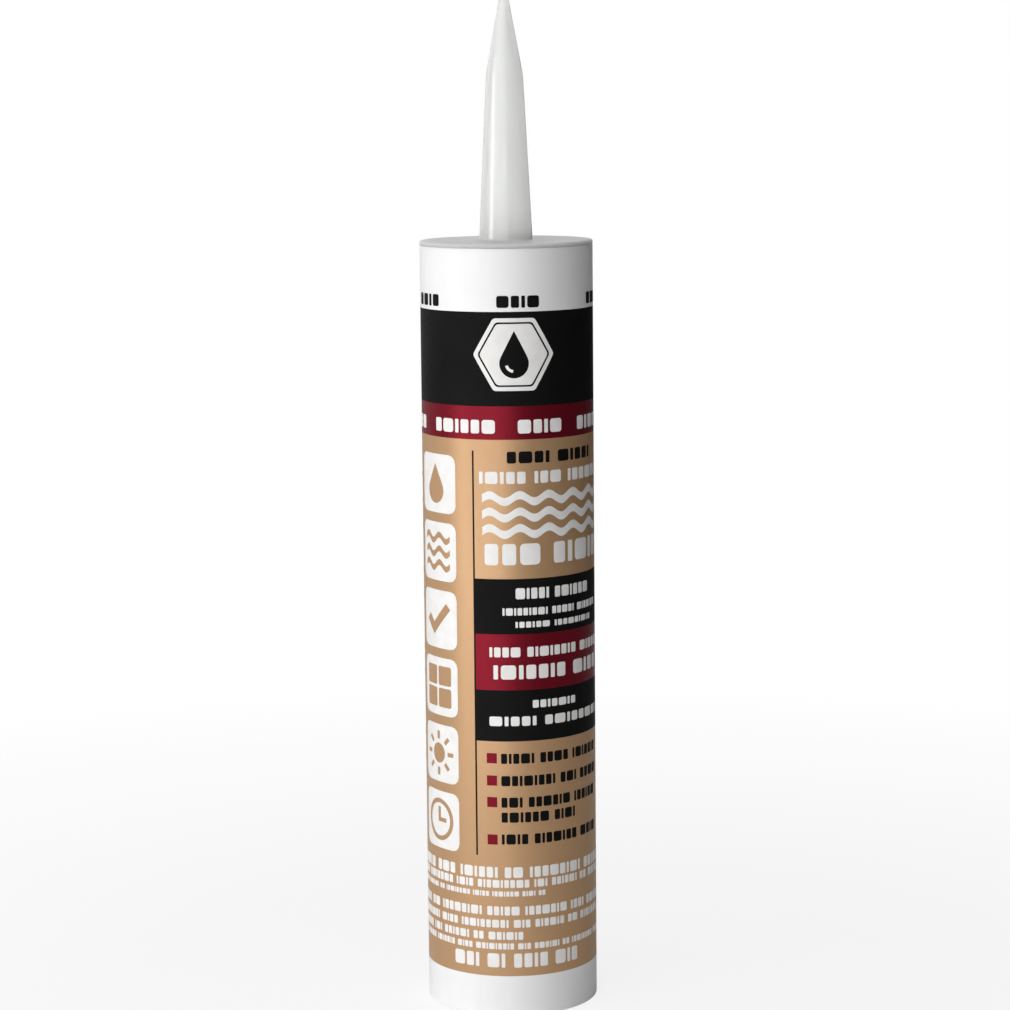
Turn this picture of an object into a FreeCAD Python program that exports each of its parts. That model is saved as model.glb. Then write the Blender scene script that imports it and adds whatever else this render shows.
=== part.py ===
import FreeCAD, Part
import os

import Sketcher

# A caulk tube: a printed plastic barrel, a moulded head with its nozzle, a foil seal under the
# head, the column of sealant and the plunger behind it. Millimetres throughout. The origin is the
# centre of the barrel's open end, which the tube stands on, and +Z runs up the axis to the nozzle.

DRIVING_SIZES = (
    ("barrel_diameter", "48.8", "outside of the extruded barrel"),
    ("barrel_wall", "1.4", "wall of the barrel"),
    ("barrel_length", "217.2", "cut length of the barrel, open end to head"),
    ("mouth_chamfer", "0.4", "lead-in round the inside of the open end"),
    ("flange_thickness", "1.3", "disc of the head that closes the barrel"),
    ("flange_edge_radius", "0.6", "rounding of the disc's upper edge"),
    ("spigot_depth", "3.0", "ring under the disc that plugs into the barrel"),
    ("spigot_wall", "1.4", "wall of that ring"),
    ("weld_gap", "0.05", "side play of the ring before it is welded in"),
    ("nozzle_base_diameter", "15.1", "nozzle where it leaves the disc"),
    ("nozzle_base_fillet", "0.7", "rounding at the foot of the nozzle"),
    ("nozzle_break_height", "45.9", "height over the disc where the taper steepens"),
    ("nozzle_break_diameter", "10.38", "nozzle at that height"),
    ("nozzle_break_radius", "20.0", "soft change from one taper to the next"),
    ("nozzle_length", "67.4", "nozzle from the disc to its closed end"),
    ("nozzle_tip_diameter", "2.56", "nozzle at its closed end"),
    ("nozzle_tip_radius", "1.0", "rounding of the closed end"),
    ("nozzle_wall", "1.3", "side wall of the hollow nozzle"),
    ("nozzle_end_wall", "3.4", "solid plastic left to cut off at the closed end"),
    ("foil_thickness", "0.12", "seal across the nozzle's inlet"),
    ("foil_overlap", "3.7", "width of foil bonded round the inlet"),
    ("sealant_gap", "0.05", "film between the sealant and the walls"),
    ("plunger_recess", "16.0", "open end of the barrel to the plunger's rim"),
    ("plunger_height", "20.0", "plunger from rim to face"),
    ("plunger_face", "1.8", "thickness of the face that pushes the sealant"),
    ("plunger_wall", "1.3", "wall of the plunger's skirt"),
    ("plunger_clearance", "0.15", "play between the sealing lips and the bore"),
    ("lip_height", "2.4", "land of each sealing lip"),
    ("lip_relief", "0.6", "depth of the waist between the two lips"),
    ("lip_bevel", "0.5", "lead-in on the outer edge of each lip"),
    ("cup_radius", "1.2", "rounding inside the plunger's cup"),
)

# Radii and heights that more than one piece takes from the sizes above
BARREL_RADIUS = "Sizes.barrel_diameter / 2"
BORE_RADIUS = "(Sizes.barrel_diameter / 2 - Sizes.barrel_wall)"
SPIGOT_BORE = f"({BORE_RADIUS} - Sizes.weld_gap - Sizes.spigot_wall)"
INLET_RADIUS = "(Sizes.nozzle_base_diameter / 2 - Sizes.nozzle_wall)"
FACE_HEIGHT = "(Sizes.plunger_recess + Sizes.plunger_height)"

# How near an edge has to be to the place where it is looked for
EDGE_TOLERANCE = 0.001

doc = FreeCAD.newDocument("CaulkTube")
sizes = doc.addObject("Spreadsheet::Sheet", "Sizes")
for row, (alias, value, meaning) in enumerate(DRIVING_SIZES, start=1):
    sizes.set(f"A{row}", meaning)
    sizes.set(f"B{row}", value)
    sizes.setAlias(f"B{row}", alias)
doc.recompute()


def number(expression):
    return float(sizes.evalExpression(expression.replace("Sizes.", "")))


def new_body(label, height="0"):
    # The piece is drawn from its own lowest seat, and its placement lifts it to that seat
    body = doc.addObject("PartDesign::Body", label)
    body.Label = label
    body.setExpression("Placement.Base.z", height)
    return body


def new_sketch(body, role, name):
    plane = next(feature for feature in body.Origin.OriginFeatures if feature.Role == role)
    sketch = body.newObject("Sketcher::SketchObject", name)
    sketch.AttachmentSupport = (plane, [""])
    sketch.MapMode = "FlatFace"
    return sketch


def add_circle(sketch, name, radius):
    circle = Part.Circle(FreeCAD.Vector(0, 0, 0), FreeCAD.Vector(0, 0, 1), number(radius))
    index = sketch.addGeometry(circle, False)
    sketch.addConstraint(Sketcher.Constraint("Coincident", index, 3, -1, 1))
    size = sketch.addConstraint(Sketcher.Constraint("Radius", index, number(radius)))
    sketch.renameConstraint(size, name)
    sketch.setExpression(f"Constraints.{name}", radius)


def hold_corner(sketch, index, kind, name, value):
    # A corner on an axis stays on it, and any other is held at its distance from the origin
    if value == "0":
        axis = {"DistanceX": -2, "DistanceY": -1}[kind]
        sketch.addConstraint(Sketcher.Constraint("PointOnObject", index, 1, axis))
        return
    size = sketch.addConstraint(Sketcher.Constraint(kind, -1, 1, index, 1, number(value)))
    sketch.renameConstraint(size, name)
    sketch.setExpression(f"Constraints.{name}", value)


def round_corner(sketch, index, name, rounding):
    # The arc touches both sides, and the sharp corner stays as a point that keeps its dimensions
    sketch.fillet(index, 1, number(rounding), True, True)
    corner = sketch.GeometryCount - 1
    arc = corner - 1
    size = sketch.addConstraint(Sketcher.Constraint("Radius", arc, number(rounding)))
    sketch.renameConstraint(size, f"{name}_rounding")
    sketch.setExpression(f"Constraints.{name}_rounding", rounding)
    return corner


def add_outline(sketch, corners):
    # Each corner is a name, a radius from the axis, a height and, where it is rounded, its rounding
    points = [FreeCAD.Vector(number(corner[1]), number(corner[2]), 0) for corner in corners]
    for start, end in zip(points, points[1:] + points[:1]):
        sketch.addGeometry(Part.LineSegment(start, end), False)
    for index in range(len(corners)):
        before = (index - 1) % len(corners)
        sketch.addConstraint(Sketcher.Constraint("Coincident", before, 2, index, 1))
    for index, (name, radius, height, *rounding) in enumerate(corners):
        held = round_corner(sketch, index, name, rounding[0]) if rounding else index
        hold_corner(sketch, held, "DistanceX", f"{name}_radius", radius)
        hold_corner(sketch, held, "DistanceY", f"{name}_height", height)


def turned_body(label, height, corners):
    body = new_body(label, height)
    sketch = new_sketch(body, "XZ_Plane", f"{label}_profile")
    add_outline(sketch, corners)
    turned = body.newObject("PartDesign::Revolution", f"{label}_turned")
    turned.Profile = sketch
    turned.ReferenceAxis = (sketch, ["V_Axis"])
    turned.Angle = 360
    doc.recompute()
    return body


def extruded_body(label, height, length, radii):
    body = new_body(label, height)
    sketch = new_sketch(body, "XY_Plane", f"{label}_section")
    for name, radius in radii:
        add_circle(sketch, name, radius)
    extruded = body.newObject("PartDesign::Pad", f"{label}_extruded")
    extruded.Profile = sketch
    extruded.setExpression("Length", length)
    doc.recompute()
    return body


def ring_edge(shape, radius, height):
    # Name of the edge that runs round the axis at this radius and height
    for index, edge in enumerate(shape.Edges, start=1):
        if not isinstance(edge.Curve, Part.Circle):
            continue
        same_radius = abs(edge.Curve.Radius - radius) < EDGE_TOLERANCE
        same_height = abs(edge.Curve.Center.z - height) < EDGE_TOLERANCE
        if same_radius and same_height:
            return f"Edge{index}"
    raise RuntimeError(f"no edge of radius {radius:.2f} mm at height {height:.2f} mm")


def make_barrel():
    # Straight extruded tube, cut square, with a small lead-in where the plunger goes in
    radii = (("outside", BARREL_RADIUS), ("bore", BORE_RADIUS))
    body = extruded_body("barrel", "0", "Sizes.barrel_length", radii)
    tube = body.Tip
    mouth = body.newObject("PartDesign::Chamfer", "barrel_mouth")
    mouth.Base = (tube, [ring_edge(tube.Shape, number(BORE_RADIUS), 0)])
    mouth.setExpression("Size", "Sizes.mouth_chamfer")
    return body


def make_nozzle_head():
    # One moulding: disc on the barrel's end, ring inside it, and a hollow nozzle with a closed end
    disc_top = "Sizes.flange_thickness"
    break_height = "Sizes.flange_thickness + Sizes.nozzle_break_height"
    end_height = "Sizes.flange_thickness + Sizes.nozzle_length"
    hollow_end = f"{end_height} - Sizes.nozzle_end_wall"
    spigot_outside = f"{BORE_RADIUS} - Sizes.weld_gap"
    base_radius = "Sizes.nozzle_base_diameter / 2"
    break_radius = "Sizes.nozzle_break_diameter / 2"
    tip_radius = "Sizes.nozzle_tip_diameter / 2"
    end_share = "Sizes.nozzle_end_wall / (Sizes.nozzle_length - Sizes.nozzle_break_height)"
    hollow_end_radius = (
        f"{tip_radius} + ({break_radius} - {tip_radius}) * {end_share} - Sizes.nozzle_wall"
    )
    corners = (
        ("spigot_foot", spigot_outside, "-Sizes.spigot_depth"),
        ("spigot_root", spigot_outside, "0"),
        ("disc_seat", BARREL_RADIUS, "0"),
        ("disc_edge", BARREL_RADIUS, disc_top, "Sizes.flange_edge_radius"),
        ("nozzle_foot", base_radius, disc_top, "Sizes.nozzle_base_fillet"),
        ("nozzle_break", break_radius, break_height, "Sizes.nozzle_break_radius"),
        ("nozzle_end", tip_radius, end_height, "Sizes.nozzle_tip_radius"),
        ("tip", "0", end_height),
        ("hollow_tip", "0", hollow_end),
        ("hollow_end", hollow_end_radius, hollow_end),
        ("hollow_break", f"{break_radius} - Sizes.nozzle_wall", break_height),
        ("inlet", INLET_RADIUS, "0"),
        ("spigot_corner", SPIGOT_BORE, "0"),
        ("spigot_lip", SPIGOT_BORE, "-Sizes.spigot_depth"),
    )
    return turned_body("nozzle_head", "Sizes.barrel_length", corners)


def make_foil_seal():
    # Thin disc bonded under the head, over the nozzle's inlet
    height = "Sizes.barrel_length - Sizes.foil_thickness"
    radii = (("rim", f"{INLET_RADIUS} + Sizes.foil_overlap"),)
    return extruded_body("foil_seal", height, "Sizes.foil_thickness", radii)


def make_sealant():
    # Fills the bore from the plunger's face up to the foil, stepping in past the head's ring
    column = f"{BORE_RADIUS} - Sizes.sealant_gap"
    neck = f"{SPIGOT_BORE} - Sizes.sealant_gap"
    shoulder = f"Sizes.barrel_length - Sizes.spigot_depth - Sizes.sealant_gap - {FACE_HEIGHT}"
    top = f"Sizes.barrel_length - Sizes.foil_thickness - {FACE_HEIGHT}"
    corners = (
        ("foot_centre", "0", "0"),
        ("foot_edge", column, "0"),
        ("shoulder_edge", column, shoulder),
        ("neck_root", neck, shoulder),
        ("neck_top", neck, top),
        ("top_centre", "0", top),
    )
    return turned_body("sealant", FACE_HEIGHT, corners)


def make_plunger():
    # Cup that opens towards the gun's push plate, with a sealing lip at its face and at its rim
    lip = f"({BORE_RADIUS} - Sizes.plunger_clearance)"
    waist = f"({lip} - Sizes.lip_relief)"
    cup = f"({waist} - Sizes.plunger_wall)"
    top = "Sizes.plunger_height"
    floor = f"{top} - Sizes.plunger_face"
    corners = (
        ("rim_inside", cup, "0"),
        ("rim_outside", f"{lip} - Sizes.lip_bevel", "0"),
        ("lower_lip_start", lip, "Sizes.lip_bevel"),
        ("lower_lip_end", lip, "Sizes.lip_height"),
        ("waist_start", waist, "Sizes.lip_height + Sizes.lip_relief"),
        ("waist_end", waist, f"{top} - Sizes.lip_height - Sizes.lip_relief"),
        ("upper_lip_start", lip, f"{top} - Sizes.lip_height"),
        ("upper_lip_end", lip, f"{top} - Sizes.lip_bevel"),
        ("face_edge", f"{lip} - Sizes.lip_bevel", top),
        ("face_centre", "0", top),
        ("cup_centre", "0", floor),
        ("cup_corner", cup, floor, "Sizes.cup_radius"),
    )
    return turned_body("plunger", "Sizes.plunger_recess", corners)


pieces = (make_barrel(), make_nozzle_head(), make_foil_seal(), make_sealant(), make_plunger())
doc.recompute()

for item in doc.Objects:
    if "Invalid" in item.State or "Error" in item.State:
        raise RuntimeError(f"{item.Label} did not recompute: {item.State}")
for piece in pieces:
    if piece.Shape.isNull() or not piece.Shape.isValid() or len(piece.Shape.Solids) != 1:
        raise RuntimeError(f"{piece.Label} is not one valid solid")

os.makedirs("parts", exist_ok=True)
for piece in pieces:
    piece.Shape.exportStep(f"parts/{piece.Label}.step")
    box = piece.Shape.optimalBoundingBox()
    print(
        f"{piece.Label}: {piece.Shape.Volume / 1000:.3f} cm3, {box.XLength:.2f} mm across,"
        f" z {box.ZMin:.2f} to {box.ZMax:.2f} mm"
    )
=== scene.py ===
import math

import bmesh
import bpy
from mathutils import Euler, Matrix, Vector


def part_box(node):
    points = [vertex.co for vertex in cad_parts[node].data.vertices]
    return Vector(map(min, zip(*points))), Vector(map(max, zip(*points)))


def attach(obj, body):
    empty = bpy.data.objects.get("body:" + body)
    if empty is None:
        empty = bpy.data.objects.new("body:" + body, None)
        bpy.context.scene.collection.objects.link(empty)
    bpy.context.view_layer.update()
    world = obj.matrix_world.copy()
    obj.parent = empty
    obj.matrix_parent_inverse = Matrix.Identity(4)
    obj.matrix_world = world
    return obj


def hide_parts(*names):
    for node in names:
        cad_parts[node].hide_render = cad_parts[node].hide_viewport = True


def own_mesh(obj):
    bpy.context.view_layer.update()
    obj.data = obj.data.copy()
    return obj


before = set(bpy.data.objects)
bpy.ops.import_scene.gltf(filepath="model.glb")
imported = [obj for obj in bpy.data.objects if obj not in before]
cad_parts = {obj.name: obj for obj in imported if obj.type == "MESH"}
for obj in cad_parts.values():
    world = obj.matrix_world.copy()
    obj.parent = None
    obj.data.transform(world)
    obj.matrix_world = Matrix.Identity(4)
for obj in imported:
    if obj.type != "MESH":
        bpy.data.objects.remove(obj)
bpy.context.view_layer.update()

mm = 0.001

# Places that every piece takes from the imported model, in millimetres
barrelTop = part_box("barrel")[1].z / mm
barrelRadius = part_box("barrel")[1].x / mm
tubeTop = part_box("nozzle_head")[1].z / mm
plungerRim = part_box("plunger")[0].z / mm
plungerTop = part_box("plunger")[1].z / mm
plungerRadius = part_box("plunger")[1].x / mm
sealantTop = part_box("sealant")[1].z / mm
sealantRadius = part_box("sealant")[1].x / mm


# Outlines and turned meshes

def roundedOutline(corners, steps=6):
    # A corner is (across, up) or (across, up, rounding); a rounding becomes an arc between its sides
    outline = []
    for index, corner in enumerate(corners):
        here = Vector(corner[:2])
        rounding = corner[2] if len(corner) > 2 else 0
        if not rounding:
            outline.append(tuple(here))
            continue
        back = (Vector(corners[index - 1][:2]) - here).normalized()
        ahead = (Vector(corners[(index + 1) % len(corners)][:2]) - here).normalized()
        halfTurn = back.angle(ahead) / 2
        centre = here + (back + ahead).normalized() * (rounding / math.sin(halfTurn))
        begin = here + back * (rounding / math.tan(halfTurn)) - centre
        finish = here + ahead * (rounding / math.tan(halfTurn)) - centre
        sweep = begin.angle_signed(finish)
        for step in range(steps + 1):
            turned = Matrix.Rotation(-sweep * step / steps, 2) @ begin
            outline.append(tuple(centre + turned))
    return outline


def turnedMesh(name, outline, around=256, seam=None):
    # Turns a closed (radius, height) outline about Z; seam is (lowest, highest, proud) of a mould line
    seamSteps = 3  # the mould line fades out over this many steps to each side
    mesh = bpy.data.meshes.new(name)
    bm = bmesh.new()
    rings = []
    for radius, height in outline:
        if radius < 1e-6:
            rings.append([bm.verts.new((0, 0, height * mm))])
            continue
        ring = []
        for step in range(around):
            angle = 2 * math.pi * step / around
            reach = radius
            fromSeam = min(step % (around // 2), -step % (around // 2))  # mould halves meet left and right
            if seam and seam[0] < height < seam[1]:
                reach += seam[2] * max(0, 1 - fromSeam / seamSteps)
            x, y = reach * math.cos(angle), reach * math.sin(angle)
            ring.append(bm.verts.new((x * mm, y * mm, height * mm)))
        rings.append(ring)
    for lower, upper in zip(rings, rings[1:] + rings[:1]):
        if len(lower) == 1 and len(upper) == 1:
            continue
        for step in range(around):
            after = (step + 1) % around
            corners = [lower[step % len(lower)], lower[after % len(lower)]]
            corners += [upper[after % len(upper)], upper[step % len(upper)]]
            bm.faces.new(list(dict.fromkeys(corners)))
    bmesh.ops.recalc_face_normals(bm, faces=bm.faces)
    bm.to_mesh(mesh)
    bm.free()
    return mesh


def addPiece(name, mesh, materials, body, sharpAngle=30):
    for polygon in mesh.polygons:
        polygon.use_smooth = True
    mesh.set_sharp_from_angle(angle=math.radians(sharpAngle))
    for material in materials:
        mesh.materials.append(material)
    piece = bpy.data.objects.new(name, mesh)
    bpy.context.collection.objects.link(piece)
    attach(piece, body)
    return piece


# Materials

def startMaterial(name, **sockets):
    material = bpy.data.materials.new(name)
    material.use_nodes = True
    for socket, value in sockets.items():
        surfaceOf(material).inputs[socket.replace("_", " ")].default_value = value
    return material


def surfaceOf(material):
    return material.node_tree.nodes["Principled BSDF"]


def addNode(material, kind, **settings):
    node = material.node_tree.nodes.new(kind)
    for socket, value in settings.items():
        node.inputs[socket.replace("_", " ")].default_value = value
    return node


def join(material, output, socket):
    material.node_tree.links.new(output, socket)


def addNoise(material, scale, detail=3, stretch=(1, 1, 1)):
    place = addNode(material, "ShaderNodeTexCoord")
    mapping = addNode(material, "ShaderNodeMapping", Scale=stretch)
    noise = addNode(material, "ShaderNodeTexNoise", Scale=scale, Detail=detail)
    join(material, place.outputs["Object"], mapping.inputs["Vector"])
    join(material, mapping.outputs["Vector"], noise.inputs["Vector"])
    return noise.outputs["Fac"]


def spread(material, value, low, high):
    # Noise stays near its middle, so its middle part is drawn out to the whole range
    fit = addNode(material, "ShaderNodeMapRange", From_Min=0.3, From_Max=0.7, To_Min=low, To_Max=high)
    join(material, value, fit.inputs["Value"])
    return fit.outputs["Result"]


def setColour(material, value, first, second):
    mix = addNode(material, "ShaderNodeMix")
    mix.data_type = "RGBA"
    mix.inputs["A"].default_value = (*first, 1)
    mix.inputs["B"].default_value = (*second, 1)
    join(material, spread(material, value, 0, 1), mix.inputs["Factor"])
    join(material, mix.outputs["Result"], surfaceOf(material).inputs["Base Color"])


def setRoughness(material, value, low, high):
    join(material, spread(material, value, low, high), surfaceOf(material).inputs["Roughness"])


def setBump(material, value, depth):
    bump = addNode(material, "ShaderNodeBump", Strength=1, Distance=depth * mm)
    join(material, value, bump.inputs["Height"])
    join(material, bump.outputs["Normal"], surfaceOf(material).inputs["Normal"])


def barrelPlastic():
    # White polyethylene: faint lines along the extrusion, a slight waxy depth
    plastic = startMaterial("barrelPlastic", IOR=1.5, Specular_IOR_Level=0.35,
                            Subsurface_Weight=0.25, Subsurface_Scale=0.002, Subsurface_Radius=(1, 1, 1))
    lines = addNoise(plastic, 260, 2, (1, 1, 0.02))
    setColour(plastic, lines, (0.90, 0.90, 0.915), (0.92, 0.92, 0.93))
    setRoughness(plastic, addNoise(plastic, 45, 4), 0.34, 0.42)
    setBump(plastic, lines, 0.012)
    return plastic


def headPlastic(name, bend, gloss, pale, depth):
    # Undyed polyethylene: milky, with flow marks from the mould; light travels depth metres inside it
    plastic = startMaterial(name, IOR=bend, Coat_Weight=gloss, Coat_IOR=1.5, Coat_Roughness=0.08,
                            Subsurface_Weight=0.8, Subsurface_Scale=depth, Subsurface_Radius=(1, 1, 1))
    flow = addNoise(plastic, 60, 3, (1, 1, 0.25))
    darkest = (pale - 0.02, pale - 0.015, pale - 0.025)
    lightest = (pale + 0.02, pale + 0.025, pale + 0.015)
    setColour(plastic, flow, darkest, lightest)
    setRoughness(plastic, addNoise(plastic, 90, 3), 0.34, 0.44)
    setBump(plastic, addNoise(plastic, 220, 2, (1, 1, 0.3)), 0.006)
    return plastic


# Same plastic as the nozzle, but its base colour is set darker: painted shade on the disc's top
def shadedDiscPlastic():
    return headPlastic("shadedDiscPlastic", 1.12, 0.06, 0.67, 0.01)


# Thin walls let light through, less of it near the foot; heights are mm above the disc
clearness = {"foot": 0.2, "wall": 0.7, "from": 0.0, "to": 3.5}


def nozzlePlastic(discTop):
    # A small bend keeps what is behind the walls from showing as dark edges
    plastic = headPlastic("nozzlePlastic", 1.08, 0.9, 0.875, 0.009)
    place = addNode(plastic, "ShaderNodeTexCoord")
    parts = addNode(plastic, "ShaderNodeSeparateXYZ")
    join(plastic, place.outputs["Object"], parts.inputs["Vector"])
    low, high = (discTop + clearness["from"]) * mm, (discTop + clearness["to"]) * mm
    rise = addNode(plastic, "ShaderNodeMapRange", From_Min=low, From_Max=high,
                   To_Min=clearness["foot"], To_Max=clearness["wall"])
    join(plastic, parts.outputs["Z"], rise.inputs["Value"])
    join(plastic, rise.outputs["Result"], surfaceOf(plastic).inputs["Transmission Weight"])
    return plastic


def goldInk():
    # Bronze-gold printing ink: soft metal flake, uneven in wide patches
    ink = startMaterial("goldInk", Metallic=0.32, IOR=1.45, Specular_IOR_Level=0.2)
    setColour(ink, addNoise(ink, 28, 5, (1, 1, 0.5)), (0.495, 0.301, 0.162), (0.535, 0.326, 0.176))
    setRoughness(ink, addNoise(ink, 900, 2), 0.30, 0.42)
    setBump(ink, addNoise(ink, 1500, 1), 0.006)
    return ink


def crimsonInk():
    # Deep red ink with the same soft metal flake
    ink = startMaterial("crimsonInk", Metallic=0.5, IOR=1.45, Specular_IOR_Level=0.1)
    setColour(ink, addNoise(ink, 35, 4, (1, 1, 0.5)), (0.170, 0.0069, 0.0162), (0.198, 0.0089, 0.0202))
    setRoughness(ink, addNoise(ink, 900, 2), 0.30, 0.40)
    setBump(ink, addNoise(ink, 1500, 1), 0.006)
    return ink


def blackInk():
    # Dense black, barely glossy
    ink = startMaterial("blackInk", IOR=1.45, Specular_IOR_Level=0.05)
    setColour(ink, addNoise(ink, 40, 4), (0.005, 0.005, 0.005), (0.008, 0.0082, 0.008))
    setRoughness(ink, addNoise(ink, 700, 2), 0.46, 0.56)
    setBump(ink, addNoise(ink, 1500, 1), 0.006)
    return ink


def whiteInk():
    # Opaque white, thin enough for the field below to warm it in places
    ink = startMaterial("whiteInk", IOR=1.45, Specular_IOR_Level=0.35)
    cover = addNoise(ink, 300, 3)
    setColour(ink, cover, (0.84, 0.825, 0.80), (0.90, 0.895, 0.89))
    setRoughness(ink, addNoise(ink, 700, 2), 0.40, 0.50)
    setBump(ink, cover, 0.006)
    return ink


def plungerPlastic():
    # Natural low-density polyethylene, waxy and a little warm
    plastic = startMaterial("plungerPlastic", IOR=1.5, Subsurface_Weight=0.4, Subsurface_Scale=0.003,
                            Subsurface_Radius=(1, 1, 1))
    setColour(plastic, addNoise(plastic, 70, 4), (0.68, 0.69, 0.68), (0.74, 0.75, 0.735))
    setRoughness(plastic, addNoise(plastic, 120, 3), 0.34, 0.46)
    setBump(plastic, addNoise(plastic, 500, 2), 0.02)
    return plastic


def siliconeGel():
    # Clear paste with fine trapped bubbles
    gel = startMaterial("siliconeGel", IOR=1.41, Transmission_Weight=0.75, Subsurface_Weight=0.2)
    setColour(gel, addNoise(gel, 150, 3), (0.86, 0.88, 0.88), (0.92, 0.93, 0.92))
    setRoughness(gel, addNoise(gel, 80, 2), 0.12, 0.28)
    setBump(gel, addNoise(gel, 260, 2), 0.05)
    return gel


def foilMetal():
    # Rolled aluminium foil with its fine lines
    metal = startMaterial("foilMetal", Metallic=1.0)
    lines = addNoise(metal, 500, 2, (1, 0.03, 1))
    setColour(metal, lines, (0.80, 0.80, 0.82), (0.90, 0.90, 0.91))
    setRoughness(metal, lines, 0.22, 0.36)
    setBump(metal, lines, 0.01)
    return metal


print("materials")
inks = {"gold": goldInk(), "crimson": crimsonInk(), "black": blackInk(), "white": whiteInk()}

# Camera: where the photograph was taken from, found by fitting the outline and the curve of the bands
camera = {
    "right": -1.0, "back": 850.0, "overHead": 43.0,  # mm from the middle of the head's top
    "pitch": 7.94, "roll": 0.557, "lens": 107.2,
}


def placeCamera(headTop):
    view = bpy.data.objects.new("camera", bpy.data.cameras.new("camera"))
    view.data.lens = camera["lens"]
    view.data.sensor_width = 36
    view.data.clip_start = 0.01
    view.location = Vector((camera["right"], -camera["back"], headTop + camera["overHead"])) * mm
    tilt = Euler((math.radians(90 - camera["pitch"]), 0, 0)).to_matrix()
    view.rotation_euler = (tilt @ Matrix.Rotation(math.radians(-camera["roll"]), 3, "Z")).to_euler()
    bpy.context.collection.objects.link(view)
    bpy.context.scene.camera = view


# Barrel and the bands printed round it
barrel = {
    "wall": 1.4, "footBevel": 0.2, "mouthBevel": 0.4, "topBevel": 0.12,
    "goldFrom": 11.5, "crimsonFrom": 164.5, "blackFrom": 173.8, "blackTo": 199.9,
}


def makeBarrel():
    bore = barrelRadius - barrel["wall"]
    bevel = barrel["topBevel"]
    bands = [barrel[key] for key in ("goldFrom", "crimsonFrom", "blackFrom", "blackTo")]
    outline = [(barrelRadius - barrel["footBevel"], 0), (barrelRadius, barrel["footBevel"])]
    outline += [(barrelRadius, height) for height in bands]
    outline += [(barrelRadius, barrelTop - bevel), (barrelRadius - bevel, barrelTop)]
    outline += [(bore, barrelTop), (bore, barrel["mouthBevel"]), (bore + barrel["mouthBevel"], 0)]
    mesh = turnedMesh("barrel", outline)
    materials = [barrelPlastic(), inks["gold"], inks["crimson"], inks["black"]]
    piece = addPiece("printedBarrel", mesh, materials, "cartridge")
    for polygon in mesh.polygons:
        outside = polygon.center.xy.length > (barrelRadius - barrel["wall"] / 2) * mm
        bandsBelow = sum(polygon.center.z > band * mm for band in bands)
        if outside and 0 < bandsBelow < len(bands):
            polygon.material_index = bandsBelow
    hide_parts("barrel")


# Head with its nozzle; heights are from the top of the barrel
head = {
    "disc": 1.3, "discRounding": 0.6, "seatBevel": 0.12,
    "spigotDepth": 3.0, "spigotWall": 1.4, "weldGap": 0.05,
    "footRadius": 7.55, "footFillet": 0.7,
    "breakRadius": 5.19, "breakHeight": 45.9, "breakRounding": 20,
    "tipRadius": 1.28, "tipRounding": 1.0, "nozzleWall": 1.3, "endWall": 3.4,
    "seamProud": 0.03,  # mould line left and right on the nozzle
}


def makeHead():
    base = barrelTop
    discTop = base + head["disc"]
    spigot = barrelRadius - barrel["wall"] - head["weldGap"]
    breakHeight = discTop + head["breakHeight"]
    hollowTop = tubeTop - head["endWall"]
    taper = (head["breakRadius"] - head["tipRadius"]) / (tubeTop - breakHeight)
    hollowTopRadius = head["tipRadius"] + taper * head["endWall"] - head["nozzleWall"]
    corners = [
        (spigot, base - head["spigotDepth"]),
        (spigot, base),
        (barrelRadius - head["seatBevel"], base),
        (barrelRadius, base + head["seatBevel"]),
        (barrelRadius, discTop, head["discRounding"]),
        (head["footRadius"], discTop, head["footFillet"]),
        (head["breakRadius"], breakHeight, head["breakRounding"]),
        (head["tipRadius"], tubeTop, head["tipRounding"]),
        (0, tubeTop),
        (0, hollowTop),
        (hollowTopRadius, hollowTop),
        (head["breakRadius"] - head["nozzleWall"], breakHeight),
        (head["footRadius"] - head["nozzleWall"], base),
        (spigot - head["spigotWall"], base),
        (spigot - head["spigotWall"], base - head["spigotDepth"]),
    ]
    seam = (discTop + head["footFillet"], tubeTop - head["tipRounding"], head["seamProud"])
    mesh = turnedMesh("nozzleHead", roundedOutline(corners, 8), seam=seam)
    materials = [shadedDiscPlastic(), nozzlePlastic(discTop)]
    piece = addPiece("mouldedHead", mesh, materials, "cartridge", 40)
    for polygon in mesh.polygons:
        onNozzle = polygon.center.xy.length < (head["footRadius"] + head["footFillet"] / 2) * mm
        polygon.material_index = int(onNozzle)
    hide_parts("nozzle_head")


# Plunger, a cup that opens downwards; heights are from its rim
plunger = {
    "face": 1.8, "wall": 1.3, "lip": 2.4, "waist": 0.6, "bevel": 0.5, "cupRounding": 1.2,
    "gateRadius": 1.6, "gateDepth": 0.3, "ringRadius": 11.0, "ringWidth": 1.2, "ringProud": 0.35,
    "rimRounding": 0.15, "bevelRounding": 0.3, "lipRounding": 0.2, "waistRounding": 0.4,
    "gateTopRounding": 0.15, "gateEdgeRounding": 0.1, "ringRounding": 0.2,
}


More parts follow.
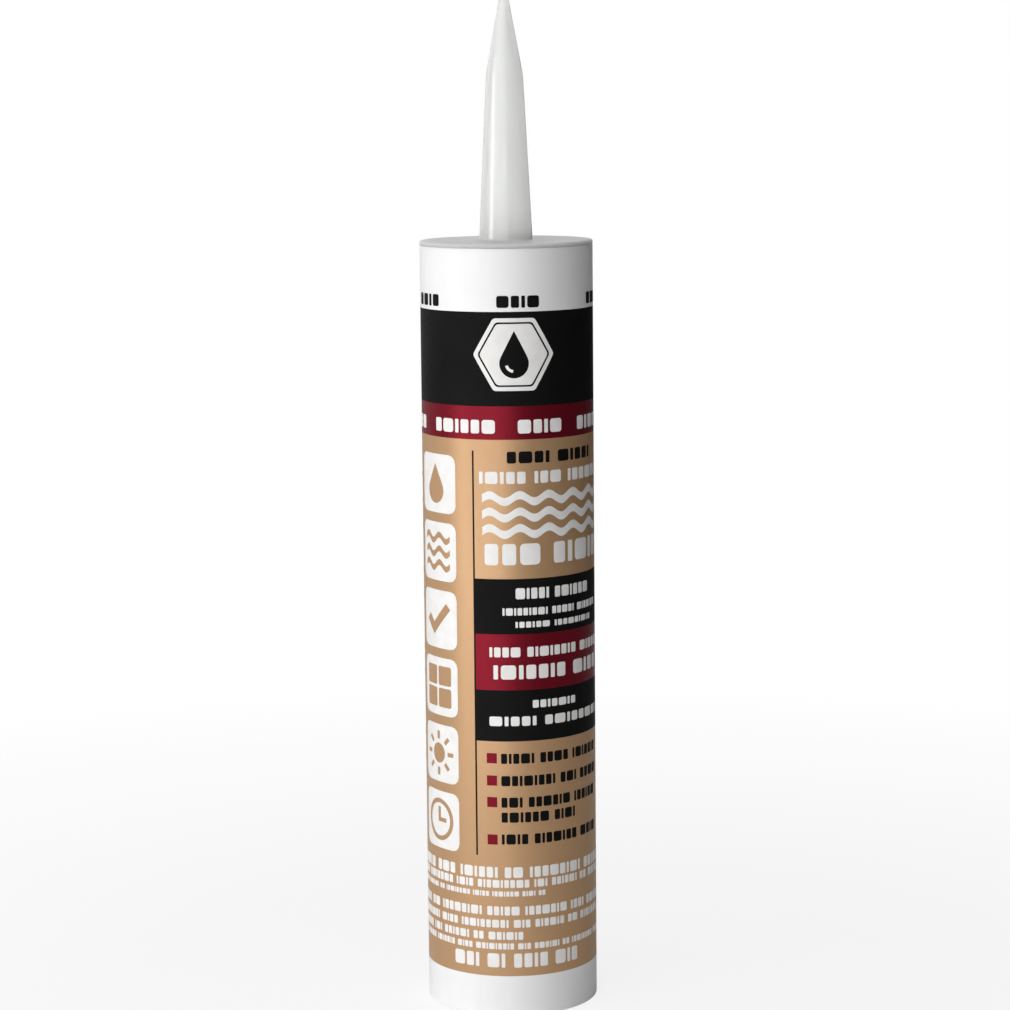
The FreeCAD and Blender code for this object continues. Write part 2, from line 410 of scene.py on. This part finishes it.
def makePlunger():
    waist = plungerRadius - plunger["waist"]
    cup = waist - plunger["wall"]
    ceiling = plungerTop - plunger["face"]
    ring = plunger["ringRadius"]
    rim, bevel = plunger["rimRounding"], plunger["bevelRounding"]
    lip, hollow = plunger["lipRounding"], plunger["waistRounding"]
    corners = [
        (cup, plungerRim),
        (plungerRadius - plunger["bevel"], plungerRim, rim),
        (plungerRadius, plungerRim + plunger["bevel"], bevel),
        (plungerRadius, plungerRim + plunger["lip"], lip),
        (waist, plungerRim + plunger["lip"] + plunger["waist"], hollow),
        (waist, plungerTop - plunger["lip"] - plunger["waist"], hollow),
        (plungerRadius, plungerTop - plunger["lip"], lip),
        (plungerRadius, plungerTop - plunger["bevel"], bevel),
        (plungerRadius - plunger["bevel"], plungerTop, rim),
        (0, plungerTop),
        (0, ceiling + plunger["gateDepth"]),
        (plunger["gateRadius"], ceiling + plunger["gateDepth"], plunger["gateTopRounding"]),
        (plunger["gateRadius"], ceiling, plunger["gateEdgeRounding"]),
        (ring - plunger["ringWidth"], ceiling, plunger["ringRounding"]),
        (ring - plunger["ringWidth"] / 2, ceiling - plunger["ringProud"], plunger["ringRounding"]),
        (ring, ceiling, plunger["ringRounding"]),
        (cup, ceiling, plunger["cupRounding"]),
    ]
    mesh = turnedMesh("plungerCup", roundedOutline(corners, 4), 192)
    piece = addPiece("plungerCup", mesh, [plungerPlastic()], "plunger", 50)
    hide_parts("plunger")


# Sealant, squeezed towards the head as the plunger rises
sealant = {"neckRadius": 21.5, "shoulder": 3.05, "edgeRounding": 0.3}


def makeSealant():
    shoulder = barrelTop - sealant["shoulder"]
    corners = [
        (0, plungerTop),
        (sealantRadius, plungerTop, sealant["edgeRounding"]),
        (sealantRadius, shoulder, sealant["edgeRounding"]),
        (sealant["neckRadius"], shoulder),
        (sealant["neckRadius"], sealantTop, sealant["edgeRounding"]),
        (0, sealantTop),
    ]
    mesh = turnedMesh("sealantColumn", roundedOutline(corners, 3), 96)
    piece = addPiece("sealantColumn", mesh, [siliconeGel()], "cartridge")
    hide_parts("sealant")
    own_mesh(piece)


# Print. A place is (across, up) in mm: across is measured round the barrel from the middle of its
# front, to the right, and up from the barrel's foot.
girth = 2 * math.pi * barrelRadius
printed = {"white": [], "black": [], "crimson": [], "gold": []}
inkDepth = {"on barrel": 0.03, "on box": 0.05, "on badge": 0.07, "under": -0.02}  # mm proud of the barrel
bendEvery = 2  # degrees between the folds that take a flat shape round the barrel


def printShape(ink, layer, points):
    printed[ink].append((inkDepth[layer], points))


def printBox(ink, layer, left, right, bottom, top, rounding=0):
    corners = [(left, bottom), (right, bottom), (right, top), (left, top)]
    printShape(ink, layer, roundedOutline([(*corner, rounding) for corner in corners], 3))


# Printed lines are plain blocks in groups, called words here. The blocks take these widths in turn,
# as shares of an equal width.
blockWidths = (1.0, 0.45, 1.0, 1.5, 0.45, 1.0, 1.0, 1.5, 1.0, 0.45, 1.5, 0.45, 1.0)
blockStyle = {"gap": 0.28, "space": 0.8, "rounding": 0.2, "leastRounded": 0.5}


def printWords(ink, layer, left, right, bottom, height, counts):
    # counts gives the blocks in each word; together they fill the line from left to right
    row = []
    reach = 0
    turn = int(bottom * 3 + abs(left))  # starts each line somewhere else in the widths
    for count in counts:
        for width in (blockWidths[(turn + place) % len(blockWidths)] for place in range(count)):
            row.append((reach, reach + width))
            reach += width + blockStyle["gap"]
        turn += count
        reach += blockStyle["space"]
    scale = (right - left) / row[-1][1]
    for begin, finish in row:
        shortSide = min((finish - begin) * scale, height)
        rounding = shortSide * blockStyle["rounding"] if shortSide > blockStyle["leastRounded"] else 0
        edges = (left + begin * scale, left + finish * scale, bottom, bottom + height)
        printBox(ink, layer, *edges, rounding)


# Lines of small words: blocks in each word, in turn, and the room for a block as a share of its height
smallWords = {"lengths": (7, 4, 9, 3, 6, 2, 8, 5), "pitch": 0.8}


def printLine(ink, layer, left, right, bottom, height, turn):
    lengths = smallWords["lengths"]
    room = round((right - left) / (height * smallWords["pitch"]))
    counts = []
    while room > 0:
        counts.append(min(lengths[(turn + len(counts)) % len(lengths)], room))
        room -= counts[-1]
    printWords(ink, layer, left, right, bottom, height, counts)


def printLoop(ink, layer, outer, inner):
    # A closed line between two outlines with the same number of points
    for index in range(len(outer)):
        after = (index + 1) % len(outer)
        printShape(ink, layer, [outer[index], outer[after], inner[after], inner[index]])


def arcPoints(across, up, radius, begin, finish, steps=24):
    points = []
    for step in range(steps + 1):
        angle = math.radians(begin + (finish - begin) * step / steps)
        points.append((across + radius * math.cos(angle), up + radius * math.sin(angle)))
    return points


def circlePoints(across, up, radius, count):
    return arcPoints(across, up, radius, 0, 360, count)[:-1]


def printDrop(ink, layer, across, up, radius, tip):
    low = up - (tip - radius) / 2
    touch = math.degrees(math.asin(radius / tip))  # where the straight sides leave the round
    belly = arcPoints(across, low, radius, 180 - touch, 360 + touch, 36)
    printShape(ink, layer, [(across, low + tip)] + belly)
    return low


def printWave(ink, layer, left, right, up, swing, length, width):
    steps = max(8, round((right - left) * 16 / length))  # 16 to a whole wave
    lower, upper = [], []
    for step in range(steps + 1):
        across = left + (right - left) * step / steps
        middle = up + swing * math.sin(2 * math.pi * (across - left) / length)
        lower.append((across, middle - width / 2))
        upper.append((across, middle + width / 2))
    for index in range(steps):
        printShape(ink, layer, [lower[index], lower[index + 1], upper[index + 1], upper[index]])


# White band under the head: the same short word, five times round the tube
topBand = {"bottom": 201.0, "height": 3.3, "width": 12.0, "left": -2.9, "copies": 5, "counts": (4,)}


def printTopBand():
    for copy in range(topBand["copies"]):
        left = topBand["left"] + girth * copy / topBand["copies"]
        if left > girth / 2:
            left -= girth
        place = (left, left + topBand["width"], topBand["bottom"], topBand["height"])
        printWords("black", "on barrel", *place, topBand["counts"])


# Badge: a six-sided white tile with a drop on it, on the front and on the back
badge = {
    "across": (1.9, girth / 2), "up": 188.1, "reach": 11.6, "rounding": 1.3,
    "lineInset": 1.3, "lineWidth": 0.55, "dropRadius": 4.1, "dropTip": 9.0,
    "shineRadius": 2.6, "shineWidth": 0.8, "shineFrom": 195, "shineTo": 262,
}


def hexagon(across, up, reach, rounding):
    corners = []
    for side in range(6):
        angle = math.radians(60 * side)
        corners.append((across + reach * math.cos(angle), up + reach * math.sin(angle), rounding))
    return roundedOutline(corners, 4)


def printBadge(across):
    up, reach, rounding = badge["up"], badge["reach"], badge["rounding"]
    printShape("white", "on barrel", hexagon(across, up, reach, rounding))
    lineReach = reach - badge["lineInset"]
    outer = hexagon(across, up, lineReach, rounding)
    printLoop("black", "on box", outer, hexagon(across, up, lineReach - badge["lineWidth"], rounding))
    low = printDrop("black", "on box", across, up, badge["dropRadius"], badge["dropTip"])
    shine = arcPoints(across, low, badge["shineRadius"], badge["shineFrom"], badge["shineTo"])
    inside = badge["shineRadius"] - badge["shineWidth"]
    shine += arcPoints(across, low, inside, badge["shineTo"], badge["shineFrom"])
    printShape("white", "on badge", shine)


crimsonBand = {
    "bottom": 166.2, "height": 3.8, "block": 3.3, "words": (6, 4, 5, 6, 3, 5, 4), "left": -23.4,
}


def printCrimsonBand():
    # Words evenly spaced all the way round
    words = crimsonBand["words"]
    gap = (girth - sum(words) * crimsonBand["block"]) / len(words)
    left = crimsonBand["left"]
    for count in words:
        place = (left, left + count * crimsonBand["block"], crimsonBand["bottom"], crimsonBand["height"])
        printWords("white", "on barrel", *place, (count,))
        left = place[1] + gap


# The column on the right of the rule: lines of blocks, three boxes and a list with square bullets
column = {
    "rule": -10.1, "ruleWidth": 0.5, "ruleFrom": 46.4, "ruleTo": 161.4,
    "left": -9.85, "right": 36.6,
}
columnLines = [
    # ink, left, right, bottom, height, blocks in each word
    ("black", -0.4, 28.9, 157.9, 3.3, (4, 5)),
    ("white", -8.3, 34.4, 152.2, 3.4, (5, 3, 6)),
    ("white", -6.9, 34.6, 129.4, 6.0, (3, 5)),
]
wave = {
    "left": -7.5, "right": 35.0, "ups": (138.9, 143.5, 148.1),
    "swing": 0.95, "length": 8.5, "width": 2.3,
}
boxes = [
    # ink, bottom, top, then its lines as left, right, bottom, height, blocks in each word
    ("black", 109.9, 125.5, [(1.7, 27.2, 119.8, 3.1, (5, 6)), (-2.0, 32.8, 115.2, 2.1, (9, 5, 7)),
                             (1.6, 28.8, 111.7, 1.7, (6, 9))]),
    ("crimson", 94.0, 109.9, [(-5.8, 34.8, 103.4, 2.8, (4, 8, 5)), (-4.7, 33.5, 97.1, 4.0, (7, 4))]),
    ("black", 79.4, 94.0, [(6.3, 20.6, 88.8, 2.2, (7,)), (-6.0, 33.8, 83.8, 2.7, (5, 8))]),
]
bullets = {"left": -6.9, "size": 2.9, "bottoms": (73.1, 66.7, 60.5, 49.7)}
listHeight = 2.9
listLines = [
    # left, right, bottom, blocks in each word
    (-2.8, 32.2, 73.0, (5, 4, 7)), (-2.8, 33.0, 66.6, (8, 3, 5)), (-2.8, 31.5, 60.4, (3, 6, 6)),
    (-2.8, 20.2, 56.1, (6, 4)), (-2.8, 32.0, 49.8, (4, 7, 4)),
]


def printColumn():
    side = column["ruleWidth"] / 2
    edges = (column["rule"] - side, column["rule"] + side, column["ruleFrom"], column["ruleTo"])
    printBox("black", "on barrel", *edges)
    for ink, left, right, bottom, height, counts in columnLines:
        printWords(ink, "on barrel", left, right, bottom, height, counts)
    for up in wave["ups"]:
        place = (wave["left"], wave["right"], up, wave["swing"], wave["length"], wave["width"])
        printWave("white", "on barrel", *place)
    for ink, bottom, top, lines in boxes:
        printBox(ink, "on barrel", column["left"], column["right"], bottom, top)
        for left, right, lineBottom, height, counts in lines:
            printWords("white", "on box", left, right, lineBottom, height, counts)
    for bottom in bullets["bottoms"]:
        edges = (bullets["left"], bullets["left"] + bullets["size"], bottom, bottom + bullets["size"])
        printBox("crimson", "on barrel", *edges)
    for left, right, bottom, counts in listLines:
        printWords("black", "on barrel", left, right, bottom, listHeight, counts)


# White tiles up the left side, each with a plain sign
tiles = {
    "across": -24.2, "from": 46.4, "size": 16.6, "gap": 2.72, "rounding": 2.4,
    "signs": ("clock", "sun", "window", "tick", "waves", "drop"),  # from the lowest tile up
}
dropSign = {"radius": 3.7, "tip": 7.6}
waveSign = {"rises": (-3.9, 0, 3.9), "reach": 6, "swing": 0.9, "length": 6, "width": 1.7}
windowSign = {"reach": 5.9, "pitch": 6.3, "pane": 5.5, "rounding": 0.6}
tickSign = ((-1.5, -4.5), (5.9, 3.0), (4.2, 4.7), (-1.5, -1.0), (-3.8, 1.3), (-5.6, -0.5))
sunSign = {"radius": 2.9, "rays": 8, "rayFrom": 4.1, "rayTo": 6.4, "raySide": 0.6}
clockSign = {"outer": 6.1, "inner": 4.8, "handSide": 0.6, "minute": 3.7, "hour": 3.2}


def printWaveSign(across, up):
    reach = waveSign["reach"]
    for rise in waveSign["rises"]:
        place = (across - reach, across + reach, up + rise)
        printWave("gold", "on box", *place, waveSign["swing"], waveSign["length"], waveSign["width"])


def printWindowSign(across, up):
    reach, pitch, pane = windowSign["reach"], windowSign["pitch"], windowSign["pane"]
    for stepAcross, stepUp in ((0, 0), (0, pitch), (pitch, 0), (pitch, pitch)):
        left, bottom = across - reach + stepAcross, up - reach + stepUp
        printBox("gold", "on box", left, left + pane, bottom, bottom + pane, windowSign["rounding"])


def printSunSign(across, up):
    printShape("gold", "on box", circlePoints(across, up, sunSign["radius"], 24))
    near, far, side = sunSign["rayFrom"], sunSign["rayTo"], sunSign["raySide"]
    for ray in range(sunSign["rays"]):
        turn = Matrix.Rotation(math.radians(360 / sunSign["rays"] * ray), 2)
        corners = ((near, -side), (far, -side), (far, side), (near, side))
        corners = [turn @ Vector(corner) for corner in corners]
        printShape("gold", "on box", [(across + x, up + y) for x, y in corners])


def printClockSign(across, up):
    outer = circlePoints(across, up, clockSign["outer"], 36)
    printLoop("gold", "on box", outer, circlePoints(across, up, clockSign["inner"], 36))
    side = clockSign["handSide"]
    printBox("gold", "on box", across - side, across + side, up - side, up + clockSign["minute"])
    printBox("gold", "on box", across + side, across + clockSign["hour"], up - side, up + side)


def printSign(sign, across, up):
    if sign == "drop":
        printDrop("gold", "on box", across, up, dropSign["radius"], dropSign["tip"])
    if sign == "waves":
        printWaveSign(across, up)
    if sign == "window":
        printWindowSign(across, up)
    if sign == "tick":
        printShape("gold", "on box", [(across + x, up + y) for x, y in tickSign])
    if sign == "sun":
        printSunSign(across, up)
    if sign == "clock":
        printClockSign(across, up)


def printTiles():
    half = tiles["size"] / 2
    for index, sign in enumerate(tiles["signs"]):
        across = tiles["across"]
        up = tiles["from"] + half + index * (tiles["size"] + tiles["gap"])
        edges = (across - half, across + half, up - half, up + half)
        printBox("white", "on barrel", *edges, tiles["rounding"])
        printSign(sign, across, up)


# Small lines that run round the tube above the foot
roundLines = [
    # left, right, bottom, height
    (-74.5, 75.5, 40.1, 3.1), (-74.5, 75.5, 37.2, 2.3), (-74.5, 9.6, 34.7, 1.5),
    (-74.5, 75.5, 29.2, 2.6), (-74.5, 75.5, 25.6, 2.3), (-74.5, 3.0, 22.1, 2.3), (-74.5, 36.0, 19.3, 1.8),
]
contents = {"left": -17.9, "right": 20.8, "bottom": 14.0, "height": 4.1, "counts": (3, 2, 4, 3)}


def printRoundLines():
    for turn, (left, right, bottom, height) in enumerate(roundLines):
        printLine("white", "on barrel", left, right, bottom, height, turn * 3)
    place = (contents["left"], contents["right"], contents["bottom"], contents["height"])
    printWords("white", "on barrel", *place, contents["counts"])


# Back of the tube: plain paragraphs under short headings
backPanel = {
    "left": 44.0, "right": 116.0, "gutter": 4.0, "top": 154.7,
    "heading": 2.8, "lineHeight": 1.5, "pitch": 2.45,
    "headingBlocks": 14,  # as many would fill the column's width
    "underHeading": 1.3,  # in pitches
    "underParagraph": 1.6,  # in heading heights
    "ragged": 0.05, "lastLine": 0.55,  # shares of the column's width
}
# The left column and the right: blocks in each word of a heading, and the lines under it
paragraphs = (
    (((4, 5), 6), ((7,), 9), ((3, 3, 4), 5), ((6, 3), 8)),
    (((8,), 8), ((3, 6), 6), ((5, 4), 7), ((4,), 5)),
)


def printBackPanel():
    width = (backPanel["right"] - backPanel["left"] - backPanel["gutter"]) / 2
    turn = 0
    for side, texts in enumerate(paragraphs):
        left = backPanel["left"] + side * (width + backPanel["gutter"])
        up = backPanel["top"]
        for heading, lineCount in texts:
            right = left + width * sum(heading) / backPanel["headingBlocks"]
            printWords("crimson", "on barrel", left, right, up, backPanel["heading"], heading)
            up -= backPanel["pitch"] * backPanel["underHeading"]
            for line in range(lineCount):
                share = 1 - backPanel["ragged"] * (line % 3)
                if line == lineCount - 1:
                    share = backPanel["lastLine"]
                place = (left, left + width * share, up, backPanel["lineHeight"])
                printLine("black", "on barrel", *place, turn)
                up -= backPanel["pitch"]
                turn += 1
            up -= backPanel["heading"] * backPanel["underParagraph"]


def giveThickness(bm):
    # Closes each flat shape with a back, just under the barrel's surface, and a wall round its edge
    fronts = bm.faces[:]
    rims = [edge.link_loops[0] for edge in bm.edges if edge.is_boundary]
    rims = [(loop.vert, loop.link_loop_next.vert) for loop in rims]
    under = {vert: bm.verts.new((vert.co.x, vert.co.y, inkDepth["under"])) for vert in bm.verts[:]}
    for face in fronts:
        bm.faces.new([under[vert] for vert in reversed(face.verts)])
    for near, far in rims:
        bm.faces.new((far, near, under[near], under[far]))


def wrapPrint(ink):
    bm = bmesh.new()
    for proud, points in printed[ink]:
        bm.faces.new([bm.verts.new((across, up, proud)) for across, up in points])
    bm.normal_update()
    bmesh.ops.triangulate(bm, faces=[face for face in bm.faces if len(face.verts) > 4])
    folds = 360 // bendEvery
    for fold in range(-folds, folds + 1):
        everything = bm.verts[:] + bm.edges[:] + bm.faces[:]
        middle = (girth * fold / folds, 0, 0)
        bmesh.ops.bisect_plane(bm, geom=everything, plane_co=middle, plane_no=(1, 0, 0))
    giveThickness(bm)
    for vert in bm.verts:
        angle = vert.co.x / barrelRadius
        reach = (barrelRadius + vert.co.z) * mm
        vert.co = (reach * math.sin(angle), -reach * math.cos(angle), vert.co.y * mm)
    bmesh.ops.recalc_face_normals(bm, faces=bm.faces)
    mesh = bpy.data.meshes.new(f"{ink}Print")
    bm.to_mesh(mesh)
    bm.free()
    addPiece(f"{ink}Print", mesh, [inks[ink]], "cartridge")


def makePrint():
    printTopBand()
    for across in badge["across"]:
        printBadge(across)
    printCrimsonBand()
    printColumn()
    printTiles()
    printRoundLines()
    printBackPanel()
    for ink in printed:
        wrapPrint(ink)


# Surroundings: pale floor, soft light from the left, a dim right-hand side
floor = {"size": 8.0, "tone": 0.94, "glowNear": 0.82, "glowFar": 1.0, "near": 0.12, "far": 0.45}


def flatMesh(name, width, height):
    right, top = width / 2, height / 2
    mesh = bpy.data.meshes.new(name)
    corners = [(-right, -top, 0), (right, -top, 0), (right, top, 0), (-right, top, 0)]
    mesh.from_pydata(corners, [], [(0, 1, 2, 3)])
    return mesh


def makeFloor():
    mesh = flatMesh("floor", floor["size"], floor["size"])
    piece = bpy.data.objects.new("floor", mesh)
    bpy.context.collection.objects.link(piece)
    tone = floor["tone"]
    paper = startMaterial("floorPaper", Base_Color=(tone, tone, tone, 1), Roughness=0.9)
    # The paper fades into the white background away from the tube
    place = addNode(paper, "ShaderNodeTexCoord")
    distance = addNode(paper, "ShaderNodeVectorMath")
    distance.operation = "LENGTH"
    join(paper, place.outputs["Object"], distance.inputs[0])
    fade = addNode(paper, "ShaderNodeMapRange", From_Min=floor["near"], From_Max=floor["far"],
                   To_Min=floor["glowNear"], To_Max=floor["glowFar"])
    join(paper, distance.outputs["Value"], fade.inputs["Value"])
    share = addNode(paper, "ShaderNodeMath")
    share.operation = "MULTIPLY"
    join(paper, seenDirectly(paper.node_tree, ("Is Transmission Ray",)), share.inputs[0])
    join(paper, fade.outputs["Result"], share.inputs[1])
    glow = addNode(paper, "ShaderNodeEmission", Strength=1)
    mix = addNode(paper, "ShaderNodeMixShader")
    join(paper, share.outputs["Value"], mix.inputs["Fac"])
    join(paper, surfaceOf(paper).outputs["BSDF"], mix.inputs[1])
    join(paper, glow.outputs["Emission"], mix.inputs[2])
    join(paper, mix.outputs["Shader"], paper.node_tree.nodes["Material Output"].inputs["Surface"])
    mesh.materials.append(paper)


def seenDirectly(tree, rays):
    # 1 for rays straight from the camera and for the named rays, and 0 for the rest
    path = tree.nodes.new("ShaderNodeLightPath")
    total = path.outputs["Is Camera Ray"]
    for ray in rays:
        larger = tree.nodes.new("ShaderNodeMath")
        larger.operation = "MAXIMUM"
        tree.links.new(total, larger.inputs[0])
        tree.links.new(path.outputs[ray], larger.inputs[1])
        total = larger.outputs[0]
    return total


sky = {"behind": 1.0, "around": 0.22}


def makeSky():
    world = bpy.data.worlds.new("studio")
    world.use_nodes = True
    bpy.context.scene.world = world
    tree = world.node_tree
    backdrop = tree.nodes["Background"]
    backdrop.inputs["Color"].default_value = (1, 1, 1, 1)
    strength = tree.nodes.new("ShaderNodeMapRange")
    strength.inputs["To Min"].default_value = sky["around"]
    strength.inputs["To Max"].default_value = sky["behind"]
    seen = seenDirectly(tree, ("Is Glossy Ray", "Is Transmission Ray"))
    tree.links.new(seen, strength.inputs["Value"])
    tree.links.new(strength.outputs["Result"], backdrop.inputs["Strength"])


# Azimuths are degrees from the front, negative to the left; distances, heights and sizes are metres
glint = {"azimuth": -71, "height": 0.3, "distance": 0.75, "size": (0.24, 0.32), "watts": 1.0}
lamps = {
    "broad": {"azimuth": -38, "height": 0.22, "distance": 0.85, "size": (1.5, 1.2), "watts": 7.6},
    "strip": {"azimuth": -64, "height": 0.22, "distance": 0.75, "size": (0.12, 0.8), "watts": 0.55},
    "low": {"azimuth": -36, "height": 0.05, "distance": 0.4, "size": (0.5, 0.08), "watts": 0.3},
    "above": {"azimuth": 0, "height": 1.1, "distance": 0.05, "size": (1.1, 1.1), "watts": 3.8},
}
darkCards = {
    "cardRight": {"azimuth": 54, "height": 0.36, "distance": 0.5, "size": (0.9, 0.9), "tone": 0.06},
    "cardBehind": {"azimuth": 123, "height": 0.36, "distance": 0.5, "size": (0.8, 0.9), "tone": 0.1},
}


def towards(azimuth, distance, height):
    angle = math.radians(azimuth)
    return Vector((math.sin(angle) * distance, -math.cos(angle) * distance, height))


def aimAtTube(piece):
    aim = Vector((0, 0, barrelTop * mm / 2)) - piece.location
    aim.z *= 0.5  # half the tilt lights the tube more evenly from foot to head
    piece.rotation_euler = aim.to_track_quat("-Z", "Y").to_euler()


def makeLamp(name, lamp):
    light = bpy.data.lights.new(name, "AREA")
    light.shape = "RECTANGLE"
    light.size, light.size_y = lamp["size"]
    light.energy = lamp["watts"]
    piece = bpy.data.objects.new(name, light)
    piece.location = towards(lamp["azimuth"], lamp["distance"], lamp["height"])
    aimAtTube(piece)
    piece.visible_camera = False
    bpy.context.collection.objects.link(piece)
    return piece


def makeGlint():
    # Draws the bright line down the nozzle and lights nothing else
    piece = makeLamp("glint", glint)
    piece.visible_diffuse = False
    piece.visible_transmission = False
    receivers = bpy.data.collections.new("glintReceivers")
    receivers.objects.link(bpy.data.objects["mouldedHead"])
    piece.light_linking.receiver_collection = receivers


def makeDarkCards():
    # Dim cards on the right, outside the picture; only the light sees them
    for name, card in darkCards.items():
        mesh = flatMesh(name, *card["size"])
        tone = card["tone"]
        mesh.materials.append(startMaterial(name, Base_Color=(tone, tone, tone, 1), Roughness=1.0))
        piece = bpy.data.objects.new(name, mesh)
        piece.location = towards(card["azimuth"], card["distance"], card["height"])
        aimAtTube(piece)
        piece.visible_camera = False
        piece.visible_transmission = False
        bpy.context.collection.objects.link(piece)


placeCamera(barrelTop + head["disc"])
print("barrel")
makeBarrel()
print("head and nozzle")
makeHead()
print("plunger and sealant")
makePlunger()
makeSealant()
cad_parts["foil_seal"].data.materials.clear()
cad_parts["foil_seal"].data.materials.append(foilMetal())
print("print")
makePrint()
print("floor and light")
makeFloor()
makeSky()
for name, lamp in lamps.items():
    makeLamp(name, lamp)
makeGlint()
makeDarkCards()
bpy.context.scene.view_settings.view_transform = "Standard"
